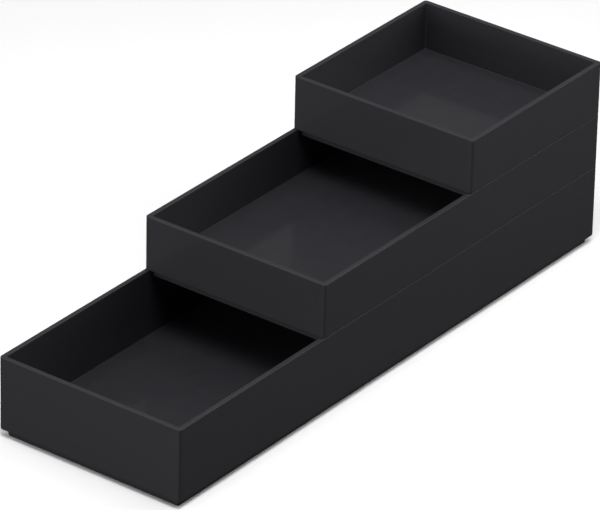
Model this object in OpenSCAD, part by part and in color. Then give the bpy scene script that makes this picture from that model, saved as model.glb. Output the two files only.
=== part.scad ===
// Three open desk organiser trays that stack like stairs. All share one width and stand flush at the back.
// A plinth under each tray drops inside the rim of the tray below, so an upper tray slides along or lifts off.
// Millimetres. Origin on the table under the middle of the stack. The open fronts face -Y, and +Z is up.

/* [Footprint] */
// Width of every tray, outside
tray_w = 97; // [70:1:140]
// Length of the bottom tray, front to back, outside
bottom_len = 300; // [260:1:400]
// Length of the middle tray, outside
middle_len = 202; // [160:1:255]
// Length of the top tray, outside
top_len = 97.5; // [70:0.5:155]

/* [Heights] */
// Bottom tray, from its ledge up to its rim
bottom_wall_h = 35; // [20:0.2:80]
// Middle and top trays, from the ledge up to the rim
upper_wall_h = 26; // [16:0.2:60]
// Height of the inside floor above the ledge
floor_top = 3.1; // [2.6:0.1:6]
// Depth of the plinth below the ledge
plinth_h = 3.3; // [2:0.1:6]

/* [Walls] */
// Thickness of the four side walls
wall_t = 2.3; // [1.6:0.1:3.5]
// Thickness of the floor
floor_t = 2.4; // [1.5:0.1:2.6]
// Radius of the upright corners, outside
corner_r = 1.5; // [1.1:0.1:4]
// Radius of the upright corners, inside
inside_r = 0.8; // [0.5:0.1:3]
// Rounding of both edges of the rim
rim_round = 0.15; // [0.1:0.05:0.7]
// Rounding of the lower outside edge
ledge_round = 0.5; // [0.2:0.1:0.9]

/* [Plinth] */
// Gap between a plinth and the walls that it nests between
nest_gap = 0.2; // [0.15:0.05:0.8]
// Thickness of the plinth's own wall
plinth_t = 2.2; // [1.4:0.1:3]

/* [Anti-slip pads] */
// Diameter of a pad
pad_d = 9; // [6:0.5:14]
// Thickness of a pad
pad_t = 1.4; // [1:0.1:2]
// How far a pad stands below the plinth
pad_proud = 0.2; // [0.1:0.1:0.8]
// Gap round a pad in its socket
pad_gap = 0.2; // [0.1:0.05:0.4]
// Wall round a pad's socket
socket_t = 1.4; // [1:0.1:2]
// Gap between the socket's wall and the plinth's wall
socket_gap = 1.2; // [0.8:0.1:3]

/* [Hidden] */
TRAYS = ["bottom", "middle", "top"];
CORNERS = ["front_left", "front_right", "back_left", "back_right"];

$fn = 48;
sink = 0.5;                              // how far joined shapes run into each other, and cuts past a face
lengths = [bottom_len, middle_len, top_len];
wall_heights = [bottom_wall_h, upper_wall_h, upper_wall_h];
back_y = bottom_len / 2;                 // the three back walls are flush here
bottom_ledge = pad_proud + plinth_h;
ledges = [
    bottom_ledge,
    bottom_ledge + bottom_wall_h,
    bottom_ledge + bottom_wall_h + upper_wall_h
];
plinth_inset = wall_t + nest_gap;
plinth_r = corner_r - 0.5;               // the plinth's upright corners, a little tighter than the tray's
plinth_round = 0.2;                      // rounding of the plinth's lower edge
hollow_h = plinth_h + floor_top - floor_t;   // underside of the floor above the plinth's foot
socket_depth = pad_t - pad_proud;
socket_d = pad_d + 2 * (pad_gap + socket_t);
// Middle of a pad, measured in from the tray's outside faces
pad_inset = plinth_inset + plinth_t + socket_gap + socket_d / 2;

plastic_colour = [0.17, 0.17, 0.19];
pad_colour = [0.08, 0.08, 0.08];

// What a rounded corner takes away: drawn at the centre of its arc, in the +X +Y quarter
module corner_waste(radius) {
    difference() {
        square(2 * radius);
        circle(radius);
    }
}

// Half of an upright outline, from x = 0 out to reach, with its lower and upper outside corner rounded
module block_outline(reach, height, low, high) {
    difference() {
        square([reach, height]);
        if (high > 0)
            translate([reach - high, height - high]) corner_waste(high);
        if (low > 0)
            translate([reach - low, low]) mirror([0, 1]) corner_waste(low);
    }
}

// The same for a hollow, whose mouth widens round the rounded edge of the wall beside it and runs on past it
module well_outline(reach, height, mouth) {
    square([reach, height + sink]);
    translate([reach, height - mouth])
        difference() {
            square([mouth, mouth + sink]);
            translate([mouth, 0]) circle(mouth);
        }
}

// Carries a half outline round a rectangle of x by y with corners of radius r, and fills the middle up to height
module round_rectangle(x, y, r, height) {
    reach_x = x / 2 - r;
    reach_y = y / 2 - r;
    translate([-reach_x, -reach_y, 0]) cube([2 * reach_x, 2 * reach_y, height]);
    for (side_x = [-1, 1], side_y = [-1, 1])
        translate([side_x * reach_x, side_y * reach_y, 0]) rotate_extrude() children();
    for (side = [0, 1]) {
        mirror([side, 0, 0]) translate([reach_x, reach_y, 0]) rotate([90, 0, 0])
            linear_extrude(2 * reach_y) children();
        mirror([0, side, 0]) translate([-reach_x, reach_y, 0]) rotate([90, 0, 90])
            linear_extrude(2 * reach_x) children();
    }
}

module block(x, y, height, r, low = 0, high = 0) {
    round_rectangle(x, y, r, height) block_outline(r, height, low, high);
}

module well(x, y, height, r, mouth) {
    round_rectangle(x, y, r, height + sink) well_outline(r, height, mouth);
}

// Puts its children at the four pads of a tray of that length, or at the one that is asked for
module at_pads(length, which = [0:3]) {
    for (corner = which)
        translate([
            (corner % 2 == 0 ? -1 : 1) * (tray_w / 2 - pad_inset),
            (corner < 2 ? -1 : 1) * (length / 2 - pad_inset),
            -plinth_h
        ]) children();
}

// One moulded tray, centred, with its ledge at z = 0: walls, floor, plinth and the sockets for its pads
module tray_shell(length, wall_h) {
    inside_w = tray_w - 2 * wall_t;
    inside_len = length - 2 * wall_t;
    plinth_w = tray_w - 2 * plinth_inset;
    plinth_len = length - 2 * plinth_inset;
    difference() {
        union() {
            block(tray_w, length, wall_h, corner_r, low = ledge_round, high = rim_round);
            translate([0, 0, -plinth_h])
                block(plinth_w, plinth_len, plinth_h + sink, plinth_r, low = plinth_round);
        }
        translate([0, 0, floor_top])
            well(inside_w, inside_len, wall_h - floor_top, inside_r, rim_round);
        translate([0, 0, -plinth_h])
            difference() {
                block(plinth_w - 2 * plinth_t, plinth_len - 2 * plinth_t, hollow_h, inside_r);
                translate([0, 0, plinth_h]) at_pads(length) cylinder(h = hollow_h + sink, d = socket_d);
            }
        at_pads(length) cylinder(h = socket_depth, d = pad_d + 2 * pad_gap);
    }
}

// One self-adhesive pad with its foot at z = 0 and the foot's edge rounded
module pad() {
    rotate_extrude() block_outline(pad_d / 2, pad_t, pad_proud / 2, 0);
}

// Puts a centred tray, or what belongs to it, in its place in the stack
module in_stack(tray) {
    translate([0, back_y - lengths[tray] / 2, ledges[tray]]) children();
}

module placed_tray(tray) {
    color(plastic_colour) in_stack(tray) tray_shell(lengths[tray], wall_heights[tray]);
}

module tray_pad(tray, corner) {
    color(pad_colour) in_stack(tray) at_pads(lengths[tray], [corner]) translate([0, 0, -pad_proud]) pad();
}

module bottom_tray() { placed_tray(0); }
module middle_tray() { placed_tray(1); }
module top_tray() { placed_tray(2); }

bottom_tray();
middle_tray();
top_tray();
for (t = [0:2], c = [0:3])
    tray_pad(t, c);
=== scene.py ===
import math

import bmesh
import bpy
from mathutils import Matrix, Vector


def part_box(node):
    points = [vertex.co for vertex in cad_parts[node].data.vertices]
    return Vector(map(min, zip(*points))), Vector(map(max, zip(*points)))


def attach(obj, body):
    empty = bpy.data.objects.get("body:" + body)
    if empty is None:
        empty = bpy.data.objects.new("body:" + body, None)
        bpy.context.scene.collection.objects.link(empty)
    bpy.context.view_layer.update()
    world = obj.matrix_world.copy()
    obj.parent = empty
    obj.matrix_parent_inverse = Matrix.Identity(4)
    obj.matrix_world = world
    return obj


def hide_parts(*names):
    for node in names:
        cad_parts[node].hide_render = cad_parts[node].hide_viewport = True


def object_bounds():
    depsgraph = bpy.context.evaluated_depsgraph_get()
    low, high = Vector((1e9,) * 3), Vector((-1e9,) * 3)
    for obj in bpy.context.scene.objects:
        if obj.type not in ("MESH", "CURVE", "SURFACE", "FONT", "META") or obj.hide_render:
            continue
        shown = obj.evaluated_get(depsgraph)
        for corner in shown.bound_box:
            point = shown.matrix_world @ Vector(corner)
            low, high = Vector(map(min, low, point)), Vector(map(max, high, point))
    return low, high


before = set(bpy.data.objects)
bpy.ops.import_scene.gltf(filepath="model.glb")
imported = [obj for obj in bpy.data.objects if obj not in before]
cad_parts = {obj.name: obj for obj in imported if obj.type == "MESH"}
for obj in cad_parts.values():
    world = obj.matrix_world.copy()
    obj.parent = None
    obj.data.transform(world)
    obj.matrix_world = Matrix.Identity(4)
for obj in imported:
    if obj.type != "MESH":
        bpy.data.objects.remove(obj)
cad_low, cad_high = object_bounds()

MM = 0.001

# The moulding, in millimetres, as the CAD model has it. Widths, lengths and heights come from the frame.
WALL = 2.3
FLOOR_TOP = 3.1
FLOOR_THICK = 2.4
PLINTH_DEPTH = 3.3
PLINTH_INSET = 2.5
PLINTH_WALL = 2.2
CORNER_R = 1.5
INSIDE_R = 0.8
PLINTH_R = 1.0
RIM_ROUND = 0.15
LEDGE_ROUND = 0.5
PLINTH_ROUND = 0.2
SOCKET_R = 6.1
SOCKET_HOLE_R = 4.7
SOCKET_DEPTH = 1.2

# What only the eye needs: small fillets, mould marks and the dished foot of a pad, in millimetres
FILLET = 0.2
SMALL_ROUND = 0.15
EJECTOR_R = 3.0
EJECTOR_DEPTH = 0.12
EJECTOR_TAPER = 0.05
EJECTOR_PITCH = 60.0
EJECTOR_END_GAP = 26.0
EJECTOR_ROW_SHARE = 0.55
GATE_STUB_R = 1.1
GATE_STUB_DROP = 0.12
GATE_DIMPLE_R = 4.0
GATE_DIMPLE_DEPTH = 0.3
PAD_ROUND = 0.2
PAD_DISH_DEPTH = 0.05
PAD_DISH_SHARE = 0.66
PAD_FOOT_SHARE = 0.72

# The mesh: millimetres between vertices, and steps round a corner, a rounded edge or a full circle.
# EDGE_BAND is the strip beside a rounded edge in which its wear fades out. FLOOR_BAND is the flat strip
# beside the inside fillet, and FLOOR_RING_CENTRE sets how round the ring at its inner edge is.
# CORNER_SIDE_SHARE places the vertex beside a corner, between the corner's arc and the floor's grid.
GRID_PITCH = 12.0
GRID_INSET = 6.0
EDGE_BAND = 1.2
FLOOR_BAND = 0.8
FLOOR_RING_CENTRE = GRID_INSET - 0.5
CORNER_SIDE_SHARE = 0.35
CORNER_STEPS = 6
ARC_STEPS = 4
ROUND_STEPS = 40

# How worn the edges are, from 0 to 1, and how much of it is left at the two ends of a rounded edge
RIM_WEAR = 0.15
CORNER_WEAR = 0.15
LEDGE_WEAR = 0.1
FOOT_WEAR = 0.8
FOOT_INNER_WEAR = 0.5
WEAR_AT_ENDS = 0.4

TRAYS = ("bottom", "middle", "top")
PAD_PLACES = ("front_left", "front_right", "back_left", "back_right")

# The camera stands where the photograph was taken from. Angles are in degrees, the distance and the aim
# in metres, the lens and the sensor in millimetres.
VIEW_AZIMUTH = 36.742
VIEW_ELEVATION = 28.922
VIEW_ROLL = 1.261
VIEW_DISTANCE = 2.6732
VIEW_AIM = (-0.0459, 0.0563, 0.0)
LENS = 358.93
SENSOR_WIDTH = 36.0


# ---------------------------------------------------------------- mesh of a tray

class Station:
    """One step of the outline that is carried round a tray: how far in from the outside face, how high
    above the ledge, how far in the centres of its round corners lie, and its share of each mask."""

    def __init__(self, inset, height, centre, wear=0.0, floor=0.0, under=0.0):
        self.inset = inset
        self.height = height
        self.centre = centre
        self.masks = {"wear": wear, "floor": floor, "under": under}


def arc(inset, height, radius, start, stop, centre, wear, under=0.0):
    """A rounded edge. Angles are in degrees: 0 points out of the tray, 90 up."""
    stations = []
    for step in range(ARC_STEPS + 1):
        share = step / ARC_STEPS
        angle = math.radians(start + (stop - start) * share)
        stations.append(Station(
            inset - radius * math.cos(angle),
            height + radius * math.sin(angle),
            centre,
            wear * (WEAR_AT_ENDS + (1 - WEAR_AT_ENDS) * math.sin(math.pi * share)),
            under=under,
        ))
    return stations


def wall_stations(inset, start, stop, centre):
    """Even rings up or down a tall wall, with one close to each end so that wear stays at the edges."""
    near = EDGE_BAND if stop > start else -EDGE_BAND
    count = max(1, round((abs(stop - start) - 2 * EDGE_BAND) / GRID_PITCH))
    first, last = start + near, stop - near
    return [Station(inset, first + (last - first) * i / count, centre) for i in range(count + 1)]


def tray_outline(wall_height):
    """The stations from the edge of the inside floor, over the rim and round the plinth, to the
    underside."""
    inside = WALL + INSIDE_R
    plinth_out = PLINTH_INSET + PLINTH_R
    plinth_in = PLINTH_INSET + PLINTH_WALL
    hollow = plinth_in + INSIDE_R
    foot = -PLINTH_DEPTH
    underside = FLOOR_TOP - FLOOR_THICK
    stations = [Station(WALL + FILLET + FLOOR_BAND, FLOOR_TOP, FLOOR_RING_CENTRE, floor=1.0)]
    stations += arc(WALL + FILLET, FLOOR_TOP + FILLET, FILLET, -90, 0, inside, 0.0)
    rim = wall_height - RIM_ROUND
    stations += wall_stations(WALL, FLOOR_TOP + FILLET, rim, inside)
    stations += arc(WALL - RIM_ROUND, rim, RIM_ROUND, 180, 90, inside, RIM_WEAR)
    stations += arc(RIM_ROUND, rim, RIM_ROUND, 90, 0, CORNER_R, RIM_WEAR)
    stations += wall_stations(0, rim, LEDGE_ROUND, CORNER_R)
    stations += arc(LEDGE_ROUND, LEDGE_ROUND, LEDGE_ROUND, 0, -90, CORNER_R, LEDGE_WEAR)
    stations += arc(PLINTH_INSET - SMALL_ROUND, -SMALL_ROUND, SMALL_ROUND, 90, 180, plinth_out, 0.0)
    stations += arc(
        PLINTH_INSET + PLINTH_ROUND, foot + PLINTH_ROUND, PLINTH_ROUND, 0, -90, plinth_out, FOOT_WEAR,
    )
    stations += arc(
        plinth_in - SMALL_ROUND, foot + SMALL_ROUND, SMALL_ROUND, -90, -180, hollow, FOOT_INNER_WEAR, 1.0,
    )
    stations += arc(plinth_in + FILLET, underside - FILLET, FILLET, 0, 90, hollow, 0.0, 1.0)
    return stations


def bridge(mesh, ring_a, ring_b):
    """Joins two rings of the same number of vertices with a closed band of faces."""
    for i in range(len(ring_a)):
        j = (i + 1) % len(ring_a)
        mesh.faces.new((ring_a[i], ring_a[j], ring_b[j], ring_b[i]))


def circle_places(x, y, radius):
    """The (x, y) places of the vertices of a circle."""
    places = []
    for step in range(ROUND_STEPS):
        angle = 2 * math.pi * step / ROUND_STEPS
        places.append((x + radius * math.cos(angle), y + radius * math.sin(angle)))
    return places


class TrayMesh:
    """Builds one tray as a single closed mesh, in metres, in the frame."""

    def __init__(self, node):
        low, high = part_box(node)
        self.middle = Vector(((low.x + high.x) / 2, (low.y + high.y) / 2, low.z + PLINTH_DEPTH * MM))
        self.half_x = (high.x - low.x) / 2 / MM
        self.half_y = (high.y - low.y) / 2 / MM
        self.wall_height = (high.z - low.z) / MM - PLINTH_DEPTH
        self.steps_x = self.grid_steps(self.half_x)
        self.steps_y = self.grid_steps(self.half_y)
        self.mesh = bmesh.new()
        self.layers = {
            mask: self.mesh.verts.layers.float.new(mask) for mask in ("wear", "floor", "under")
        }

    def grid_steps(self, half):
        """Even places along one side, from one corner of the floor's grid to the other."""
        reach = half - GRID_INSET
        count = max(2, round(2 * reach / GRID_PITCH))
        return [-reach + 2 * reach * i / count for i in range(count + 1)]

    def vertex(self, x, y, z, masks):
        """A vertex at millimetres from the tray's middle, where z = 0 is the ledge."""
        vert = self.mesh.verts.new(self.middle + Vector((x, y, z)) * MM)
        for mask, layer in self.layers.items():
            vert[layer] = masks.get(mask, 0.0)
        return vert

    def ring(self, station):
        """A closed ring of vertices at one station, starting after the corner at +X -Y."""
        radius = station.centre - station.inset
        verts = []
        sides = (
            (1, 1, self.steps_y, False), (-1, 1, self.steps_x[::-1], True),
            (-1, -1, self.steps_y[::-1], False), (1, -1, self.steps_x, True),
        )
        for quarter, (side_x, side_y, steps, along_x) in enumerate(sides):
            for step in steps:
                if along_x:
                    x, y = step, side_y * (self.half_y - station.inset)
                else:
                    x, y = side_x * (self.half_x - station.inset), step
                verts.append(self.vertex(x, y, station.height, station.masks))
            verts.extend(self.corner(station, quarter, radius))
        return verts

    def corner(self, station, quarter, radius):
        """The part of a ring round one corner: the arc, with one vertex of the straight side before and
        after it. The arc of an outside corner is worn at every height."""
        turn = math.radians(90 * quarter)
        nearby = station.centre + (GRID_INSET - station.centre) * CORNER_SIDE_SHARE
        side_x = 1 if quarter in (0, 3) else -1
        side_y = 1 if quarter in (0, 1) else -1
        centre_x = side_x * (self.half_x - station.centre)
        centre_y = side_y * (self.half_y - station.centre)
        near_x = side_x * (self.half_x - nearby)
        near_y = side_y * (self.half_y - nearby)
        out_x = side_x * (self.half_x - station.inset)
        out_y = side_y * (self.half_y - station.inset)
        before, after = ((out_x, near_y), (near_x, out_y))
        if quarter % 2:
            before, after = after, before
        masks = station.masks
        least_wear = CORNER_WEAR if station.inset < CORNER_R else 0.0
        worn = dict(masks, wear=max(masks["wear"], least_wear))
        verts = [self.vertex(*before, station.height, masks)]
        for step in range(CORNER_STEPS + 1):
            angle = turn + math.radians(90) * step / CORNER_STEPS
            verts.append(self.vertex(
                centre_x + radius * math.cos(angle),
                centre_y + radius * math.sin(angle),
                station.height,
                worn,
            ))
        verts.append(self.vertex(*after, station.height, masks))
        return verts

    def fill_floor(self, ring):
        """Fills the inside floor with an even grid whose border meets the ring's straight sides."""
        masks = {"floor": 1.0}
        grid = {
            (i, j): self.vertex(x, y, FLOOR_TOP, masks)
            for i, x in enumerate(self.steps_x) for j, y in enumerate(self.steps_y)
        }
        last_x, last_y = len(self.steps_x) - 1, len(self.steps_y) - 1
        for i in range(last_x):
            for j in range(last_y):
                square = ((i, j), (i + 1, j), (i + 1, j + 1), (i, j + 1))
                self.mesh.faces.new([grid[place] for place in square])
        border = (
            [(last_x, j) for j in range(last_y + 1)], [(i, last_y) for i in range(last_x, -1, -1)],
            [(0, j) for j in range(last_y, -1, -1)], [(i, 0) for i in range(last_x + 1)],
        )
        edges_round_corner = CORNER_STEPS + 4
        place = 0
        for side in border:
            for k in range(len(side) - 1):
                near, far = grid[side[k]], grid[side[k + 1]]
                self.mesh.faces.new((near, far, ring[place + k + 1], ring[place + k]))
            place += len(side) - 1
            for _ in range(edges_round_corner):
                following = (place + 1) % len(ring)
                self.mesh.faces.new((grid[side[-1]], ring[following], ring[place]))
                place += 1

    def round_feature(self, x, y, stations, masks):
        """Rings of (radius, height) round one centre, closed by a disc. Returns the edges of the first
        ring."""
        rings = []
        for radius, height in stations:
            rings.append([self.vertex(*place, height, masks) for place in circle_places(x, y, radius)])
        for ring_a, ring_b in zip(rings, rings[1:]):
            bridge(self.mesh, ring_a, ring_b)
        self.mesh.faces.new(rings[-1])
        return self.loop_edges(rings[0])

    def loop_edges(self, ring):
        """The edges of a closed ring, made where they don't exist yet."""
        edges = []
        for i in range(len(ring)):
            pair = (ring[i], ring[(i + 1) % len(ring)])
            edges.append(self.mesh.edges.get(pair) or self.mesh.edges.new(pair))
        return edges

    def fill_underside(self, ring, pads, marks):
        """Fills the underside of the floor round the pad sockets, the ejector marks and the gate."""
        under = FLOOR_TOP - FLOOR_THICK
        foot = -PLINTH_DEPTH
        socket = [
            (SOCKET_R + FILLET, under), (SOCKET_R + FILLET * 0.3, under - FILLET * 0.3),
            (SOCKET_R, under - FILLET), (SOCKET_R, foot + SMALL_ROUND),
            (SOCKET_R - SMALL_ROUND, foot), (SOCKET_HOLE_R + SMALL_ROUND, foot),
            (SOCKET_HOLE_R, foot + SMALL_ROUND), (SOCKET_HOLE_R, foot + SOCKET_DEPTH),
        ]
        ejector = [(EJECTOR_R, under), (EJECTOR_R - EJECTOR_TAPER, under + EJECTOR_DEPTH)]
        dimple = under + GATE_DIMPLE_DEPTH
        # The gate is a shallow round dimple with sloping sides. The cut-off stub of the runner stands in
        # its middle, with a flared foot and a bevelled end.
        gate = [
            (GATE_DIMPLE_R, under), (GATE_DIMPLE_R * 0.9, under + GATE_DIMPLE_DEPTH * 0.6),
            (GATE_DIMPLE_R * 0.75, dimple), (GATE_STUB_R + 0.3, dimple), (GATE_STUB_R + 0.1, dimple - 0.1),
            (GATE_STUB_R, under - 0.05), (GATE_STUB_R - 0.15, under - GATE_STUB_DROP),
        ]
        edges = self.loop_edges(ring)
        masks = {"under": 1.0}
        for x, y in pads:
            edges += self.round_feature(x, y, socket, masks)
        for x, y in marks:
            edges += self.round_feature(x, y, ejector, masks)
        edges += self.round_feature(0, 0, gate, masks)
        bmesh.ops.triangle_fill(self.mesh, edges=edges, use_beauty=True, normal=(0, 0, -1))

    def build(self, pads):
        """Builds the whole tray, with sockets for pads at those places."""
        stations = tray_outline(self.wall_height)
        rings = [self.ring(station) for station in stations]
        for ring_a, ring_b in zip(rings, rings[1:]):
            bridge(self.mesh, ring_a, ring_b)
        self.fill_floor(rings[0])
        self.fill_underside(rings[-1], pads, self.ejector_marks())
        bmesh.ops.recalc_face_normals(self.mesh, faces=self.mesh.faces)

    def ejector_marks(self):
        """Two rows of ejector pins, evenly spaced along the tray and clear of the sockets."""
        reach_x = self.half_x * EJECTOR_ROW_SHARE
        reach_y = self.half_y - EJECTOR_END_GAP
        count = max(2, round(2 * reach_y / EJECTOR_PITCH) + 1)
        return [
            (side * reach_x, -reach_y + 2 * reach_y * i / (count - 1))
            for side in (-1, 1) for i in range(count)
        ]


def finished_object(name, mesh, material):
    """Turns a finished mesh into an object with smooth shading whose flat faces stay flat."""
    data = bpy.data.meshes.new(name)
    mesh.to_mesh(data)
    mesh.free()
    obj = bpy.data.objects.new(name, data)
    bpy.context.scene.collection.objects.link(obj)
    obj.data.materials.append(material)
    obj.data.shade_smooth()
    weighted = obj.modifiers.new("even_normals", "WEIGHTED_NORMAL")
    weighted.mode = "FACE_AREA"
    weighted.weight = 100
    return obj


def make_tray(tray, material):
    """One moulded tray, with its sockets where the frame has its pads."""
    node = f"{tray}_tray"
    builder = TrayMesh(node)
    pads = []
    for place in PAD_PLACES:
        low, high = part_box(f"{tray}_pad_{place}")
        centre = ((low + high) / 2 - builder.middle) / MM
        pads.append((centre.x, centre.y))
    builder.build(pads)
    obj = finished_object(f"{node}_shell", builder.mesh, material)
    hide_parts(node)
    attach(obj, tray)


def make_pad(tray, place, material):
    """A turned rubber disc that fills its CAD node's box, with soft edges and a faint dished foot."""
    node = f"{tray}_pad_{place}"
    low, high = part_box(node)
    centre = (low + high) / 2
    radius = (high.x - low.x) / 2
    height = high.z - low.z
    soft = PAD_ROUND * MM
    outline = [(radius - soft * 0.5, height), (radius, height - soft * 0.5)]
    for step in range(ARC_STEPS + 1):
        angle = math.radians(90) * step / ARC_STEPS
        outline.append((radius - soft + soft * math.cos(angle), soft - soft * math.sin(angle)))
    outline += [(radius * PAD_FOOT_SHARE, 0.0), (radius * PAD_DISH_SHARE, PAD_DISH_DEPTH * MM)]
    mesh = bmesh.new()
    rings = []
    for ring_radius, ring_height in outline:
        places = circle_places(centre.x, centre.y, ring_radius)
        rings.append([mesh.verts.new((*place, low.z + ring_height)) for place in places])
    for ring_a, ring_b in zip(rings, rings[1:]):
        bridge(mesh, ring_a, ring_b)
    mesh.faces.new(rings[0])
    mesh.faces.new(rings[-1])
    bmesh.ops.recalc_face_normals(mesh, faces=mesh.faces)
    obj = finished_object(f"{node}_disc", mesh, material)
    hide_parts(node)
    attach(obj, tray)


# ---------------------------------------------------------------- materials

class Nodes:
    """Short calls for building one material's node tree."""

    def __init__(self, name):
        self.material = bpy.data.materials.new(name)
        self.material.use_nodes = True
        self.tree = self.material.node_tree
        self.shader = self.tree.nodes["Principled BSDF"]
        self.place = self.add("ShaderNodeTexCoord").outputs["Object"]

    def add(self, kind, **settings):
        """A new node of that kind with those settings."""
        node = self.tree.nodes.new(kind)
        for key, value in settings.items():
            setattr(node, key, value)
        return node

    def link(self, source, target):
        """Links an output to a socket, or sets the socket when the source is a number."""
        if isinstance(source, (int, float)):
            target.default_value = source
        else:
            self.tree.links.new(source, target)

    def noise(self, scale, detail=3.0, stretch=(1, 1, 1), rough=0.5):
        """Noise with that many waves per metre, times the stretch along each axis."""
        mapping = self.add("ShaderNodeMapping")
        mapping.inputs["Scale"].default_value = stretch
        self.link(self.place, mapping.inputs["Vector"])
        texture = self.add("ShaderNodeTexNoise")
        self.link(mapping.outputs[0], texture.inputs["Vector"])
        texture.inputs["Scale"].default_value = scale
        texture.inputs["Detail"].default_value = detail
        texture.inputs["Roughness"].default_value = rough
        return texture.outputs["Fac"]

    def math(self, operation, a, b=0.0, clamp=False):
        """One step of arithmetic on outputs or numbers."""
        node = self.add("ShaderNodeMath", operation=operation, use_clamp=clamp)
        self.link(a, node.inputs[0])
        self.link(b, node.inputs[1])
        return node.outputs[0]

    def spread(self, value, low, high, to_low, to_high):
        """Carries the range low to high over to the range to_low to to_high, and no further."""
        node = self.add("ShaderNodeMapRange")
        self.link(value, node.inputs["Value"])
        for key, number in (("From Min", low), ("From Max", high), ("To Min", to_low), ("To Max", to_high)):
            node.inputs[key].default_value = number
        return node.outputs[0]

    def mask(self, name):
        """One of the masks that the mesh carries on its vertices."""
        return self.add("ShaderNodeAttribute", attribute_name=name).outputs["Fac"]

    def mix(self, share, colour_a, colour_b):
        """A blend of two colours, where a share of 0 gives the first."""
        node = self.add("ShaderNodeMix", data_type="RGBA")
        self.link(share, node.inputs["Factor"])
        for colour, socket in ((colour_a, node.inputs[6]), (colour_b, node.inputs[7])):
            if isinstance(colour, tuple):
                socket.default_value = (*colour, 1.0)
            else:
                self.link(colour, socket)
        return node.outputs[2]

    def bump(self, height, strength, distance, before=None):
        """A bump with its depth in metres, on top of the bumps before it."""
        node = self.add("ShaderNodeBump")
        self.link(height, node.inputs["Height"])
        node.inputs["Strength"].default_value = strength
        node.inputs["Distance"].default_value = distance
        if before is not None:
            self.link(before, node.inputs["Normal"])
        return node.outputs[0]


# Colours are linear. The shares below say how much scratches, wear and the underside change the plastic.
PLASTIC_DARK = (0.0113, 0.0114, 0.0148)
PLASTIC_PALE = (0.0125, 0.0126, 0.0162)
PLASTIC_WORN = (0.0150, 0.0151, 0.0190)
PLASTIC_ROUGH = (0.57, 0.63)
PLASTIC_SPECULAR = 0.4
PLASTIC_COAT = 0.2
PLASTIC_COAT_ROUGH = 0.12
SCRATCH_DULLS = 0.06
WEAR_POLISHES = 0.10
UNDERSIDE_SMOOTHER = 0.08
UNDERSIDE_LESS_GRAIN = 0.6

# Parts of a noise's range, from 0 to 1: where a shade or a gloss changes, where wear grows, and where a
# scratch goes from none to full. PATCHY_WEAR is how much of the wear shows at the two ends of its part.
SHADE_BAND = (0.3, 0.7)
WEAR_BAND = (0.35, 0.7)
PATCHY_WEAR = (0.15, 0.6)
HAIRLINE_BAND = (0.66, 0.72)
CROSSING_BAND = (0.68, 0.74)

RUBBER_DARK = (0.010, 0.010, 0.010)
RUBBER_PALE = (0.022, 0.021, 0.020)
RUBBER_ROUGH = (0.72, 0.86)
RUBBER_SPECULAR = 0.35

# Scales of the noises, in waves per metre, then depths of the bumps, in metres, and their strengths
WAVES = 9.0
CLOUDS = 18.0
PATCHES = 160.0
GRAIN = 2600.0
HAIRLINES = (900, 26, 26)
CROSSING_LINES = (34, 800, 34)
RUBBER_CLOUDS = 420.0
RUBBER_GRAIN = 5200.0
WAVE_DEPTH = 0.0004
GRAIN_DEPTH = 0.00003
SCRATCH_DEPTH = 0.00001
WAVE_STRENGTH = 0.25
GRAIN_STRENGTH = 0.35
SCRATCH_STRENGTH = 0.15
RUBBER_STRENGTH = 0.4


def hairline_scratches(n, floor):
    """Thin lines in two crossing directions, on the inside floors only."""
    hairlines = n.spread(n.noise(1.0, 2.0, stretch=HAIRLINES), *HAIRLINE_BAND, 0, 1)
    crossing = n.spread(n.noise(1.0, 2.0, stretch=CROSSING_LINES), *CROSSING_BAND, 0, 1)
    return n.math("MULTIPLY", n.math("MAXIMUM", hairlines, crossing), floor)


def tray_plastic():
    """Charcoal moulded plastic with a fine spark-eroded grain, polished a little along its edges."""
    n = Nodes("charcoal_moulded_plastic")
    wear, floor, under = n.mask("wear"), n.mask("floor"), n.mask("under")
    patches = n.noise(PATCHES, 3.0)
    worn_share = n.math("MULTIPLY", wear, n.spread(patches, *WEAR_BAND, *PATCHY_WEAR), clamp=True)
    clouds = n.spread(n.noise(CLOUDS, 2.0), *SHADE_BAND, 0.0, 1.0)
    colour = n.mix(worn_share, n.mix(clouds, PLASTIC_DARK, PLASTIC_PALE), PLASTIC_WORN)
    n.link(colour, n.shader.inputs["Base Color"])

    scratches = hairline_scratches(n, floor)
    rough = n.spread(patches, *SHADE_BAND, *PLASTIC_ROUGH)
    rough = n.math("ADD", rough, n.math("MULTIPLY", scratches, SCRATCH_DULLS))
    rough = n.math("SUBTRACT", rough, n.math("MULTIPLY", worn_share, WEAR_POLISHES))
    rough = n.math("SUBTRACT", rough, n.math("MULTIPLY", under, UNDERSIDE_SMOOTHER), clamp=True)
    n.link(rough, n.shader.inputs["Roughness"])

    grain_share = n.math("SUBTRACT", 1.0, n.math("MULTIPLY", under, UNDERSIDE_LESS_GRAIN))
    grain = n.math("MULTIPLY", n.noise(GRAIN, 2.0, rough=0.6), grain_share)
    bumps = n.bump(n.noise(WAVES, 1.0), WAVE_STRENGTH, WAVE_DEPTH)
    bumps = n.bump(grain, GRAIN_STRENGTH, GRAIN_DEPTH, bumps)
    bumps = n.bump(n.math("SUBTRACT", 1.0, scratches), SCRATCH_STRENGTH, SCRATCH_DEPTH, bumps)
    n.link(bumps, n.shader.inputs["Normal"])
    n.shader.inputs["Specular IOR Level"].default_value = PLASTIC_SPECULAR
    n.shader.inputs["Coat Weight"].default_value = PLASTIC_COAT
    n.shader.inputs["Coat Roughness"].default_value = PLASTIC_COAT_ROUGH
    return n.material


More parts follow.
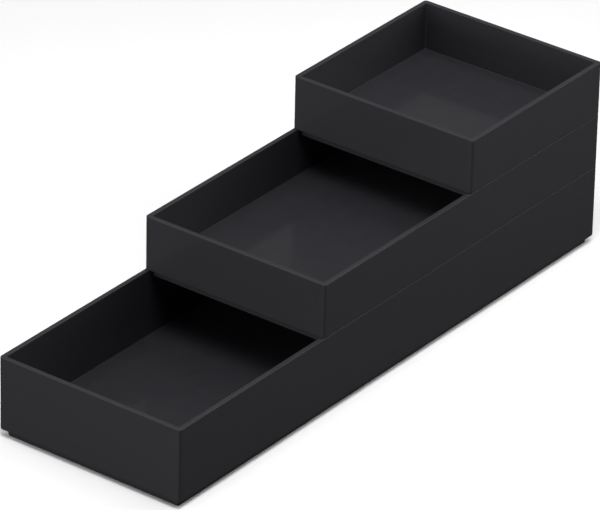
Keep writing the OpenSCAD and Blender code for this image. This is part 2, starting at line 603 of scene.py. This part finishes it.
def pad_rubber():
    """Dull black rubber with a powdery grain."""
    n = Nodes("black_rubber")
    clouds = n.noise(RUBBER_CLOUDS, 3.0)
    grain = n.noise(RUBBER_GRAIN, 2.0)
    n.link(n.mix(clouds, RUBBER_DARK, RUBBER_PALE), n.shader.inputs["Base Color"])
    n.link(n.spread(grain, *SHADE_BAND, *RUBBER_ROUGH), n.shader.inputs["Roughness"])
    n.link(n.bump(grain, RUBBER_STRENGTH, GRAIN_DEPTH), n.shader.inputs["Normal"])
    n.shader.inputs["Specular IOR Level"].default_value = RUBBER_SPECULAR
    return n.material


# ---------------------------------------------------------------- floor, light and camera

# How pale the floor is to the camera and in reflections, how much and in how many waves per metre its
# shade varies, how rough it is, the half of its side in metres, and its gap under the object in
# millimetres
FLOOR_SEEN = 0.85
FLOOR_REFLECTED = 0.12
FLOOR_CLOUD = 0.01
FLOOR_WAVES = 3.0
FLOOR_ROUGH = 0.9
FLOOR_HALF = 4.0
FLOOR_GAP = 0.02


def pale_floor():
    """A plain pale floor, bright to the camera but dim in the plastic's reflections, so that the dark trays
    stay dark beside it. From below, the camera looks through it."""
    mesh = bmesh.new()
    bmesh.ops.create_grid(mesh, x_segments=8, y_segments=8, size=FLOOR_HALF)
    data = bpy.data.meshes.new("studio_floor")
    mesh.to_mesh(data)
    mesh.free()
    floor = bpy.data.objects.new("studio_floor", data)
    floor.location.z = cad_low.z - FLOOR_GAP * MM
    bpy.context.scene.collection.objects.link(floor)
    n = Nodes("pale_floor")
    shades = [(FLOOR_SEEN + change,) * 3 for change in (-FLOOR_CLOUD, FLOOR_CLOUD)]
    seen = n.mix(n.noise(FLOOR_WAVES, 2.0), *shades)
    direct = n.add("ShaderNodeLightPath").outputs["Is Camera Ray"]
    n.link(n.mix(direct, (FLOOR_REFLECTED,) * 3, seen), n.shader.inputs["Base Color"])
    n.shader.inputs["Roughness"].default_value = FLOOR_ROUGH
    n.shader.inputs["Specular IOR Level"].default_value = 0.0
    clear = n.add("ShaderNodeBsdfTransparent")
    either = n.add("ShaderNodeMixShader")
    n.link(n.add("ShaderNodeNewGeometry").outputs["Backfacing"], either.inputs["Fac"])
    n.link(n.shader.outputs[0], either.inputs[1])
    n.link(clear.outputs[0], either.inputs[2])
    n.link(either.outputs[0], n.tree.nodes["Material Output"].inputs["Surface"])
    data.materials.append(n.material)


# Distances of the soft boxes from the object, in metres
FAR = 1.7
NEAR = 0.5

# name: azimuth and elevation in degrees (azimuth 0 is in front, 90 to the right), distance, width and
# height in metres, power in watts
SOFTBOXES = {
    "overhead": (0, 90, FAR, 1.25, 1.25, 10.0),
    "high_front_right": (45, 68, FAR, 0.8, 0.8, 18.0),
    "low_front": (0, 20, FAR, 0.8, 0.8, 5.5),
    "low_front_left": (315, 20, FAR, 0.8, 0.8, 5.0),
    "low_left": (262, 12, FAR, 0.8, 0.6, 4.0),
    "low_back_left": (215, 25, FAR, 0.8, 0.6, 0.7),
    "low_back_right": (135, 20, FAR, 0.8, 0.8, 6.0),
    "strip_front": (0, 5, FAR, 0.9, 0.24, 8.5),
    "near_back_right": (130, 50, NEAR, 0.3, 0.3, 0.8),
    "near_low_back_right": (135, 25, NEAR, 0.3, 0.3, 0.3),
    "near_front_left": (315, 50, NEAR, 0.3, 0.3, 0.35),
}
LIGHT_AIM = Vector((0.0, 0.0, 0.03))
AMBIENT = 0.002


def direction(azimuth, elevation):
    """The unit vector from the object towards that azimuth and elevation, in degrees."""
    azimuth, elevation = math.radians(azimuth), math.radians(elevation)
    return Vector((
        math.sin(azimuth) * math.cos(elevation),
        -math.cos(azimuth) * math.cos(elevation),
        math.sin(elevation),
    ))


def softbox(name, azimuth, elevation, distance, width, height, power):
    """A rectangular lamp that points at the object and is not seen by the camera."""
    light = bpy.data.lights.new(name, "AREA")
    light.shape = "RECTANGLE"
    light.size = width
    light.size_y = height
    light.energy = power
    obj = bpy.data.objects.new(name, light)
    away = direction(azimuth, elevation)
    obj.location = LIGHT_AIM + away * distance
    obj.rotation_mode = "QUATERNION"
    obj.rotation_quaternion = away.to_track_quat("Z", "Y")
    obj.visible_camera = False
    bpy.context.scene.collection.objects.link(obj)


def studio_light():
    """The soft boxes, and a world that the camera sees as white but that hardly lights the object."""
    for name, settings in SOFTBOXES.items():
        softbox(name, *settings)
    world = bpy.data.worlds.new("studio")
    bpy.context.scene.world = world
    world.use_nodes = True
    tree = world.node_tree
    glow = tree.nodes["Background"]
    glow.inputs["Color"].default_value = (1.0, 1.0, 1.0, 1.0)
    glow.inputs["Strength"].default_value = AMBIENT
    seen = tree.nodes.new("ShaderNodeBackground")
    seen.inputs["Strength"].default_value = 1.0
    seen.inputs["Color"].default_value = (1.0, 1.0, 1.0, 1.0)
    path = tree.nodes.new("ShaderNodeLightPath")
    either = tree.nodes.new("ShaderNodeMixShader")
    tree.links.new(path.outputs["Is Camera Ray"], either.inputs["Fac"])
    tree.links.new(glow.outputs[0], either.inputs[1])
    tree.links.new(seen.outputs[0], either.inputs[2])
    tree.links.new(either.outputs[0], tree.nodes["World Output"].inputs["Surface"])
    bpy.context.scene.view_settings.view_transform = "Standard"


def camera():
    """The camera of the photograph: a long lens, looking down from the front right, rolled a little."""
    back = direction(VIEW_AZIMUTH, VIEW_ELEVATION)
    data = bpy.data.cameras.new("camera")
    data.lens = LENS
    data.sensor_width = SENSOR_WIDTH
    data.clip_start, data.clip_end = 0.1, 20.0
    obj = bpy.data.objects.new("camera", data)
    turn = back.to_track_quat("Z", "Y").to_matrix() @ Matrix.Rotation(math.radians(VIEW_ROLL), 3, "Z")
    obj.matrix_world = Matrix.Translation(Vector(VIEW_AIM) + back * VIEW_DISTANCE) @ turn.to_4x4()
    bpy.context.scene.collection.objects.link(obj)
    bpy.context.scene.camera = obj


camera()
plastic = tray_plastic()
rubber = pad_rubber()
for tray in TRAYS:
    make_tray(tray, plastic)
    for place in PAD_PLACES:
        make_pad(tray, place, rubber)
pale_floor()
studio_light()
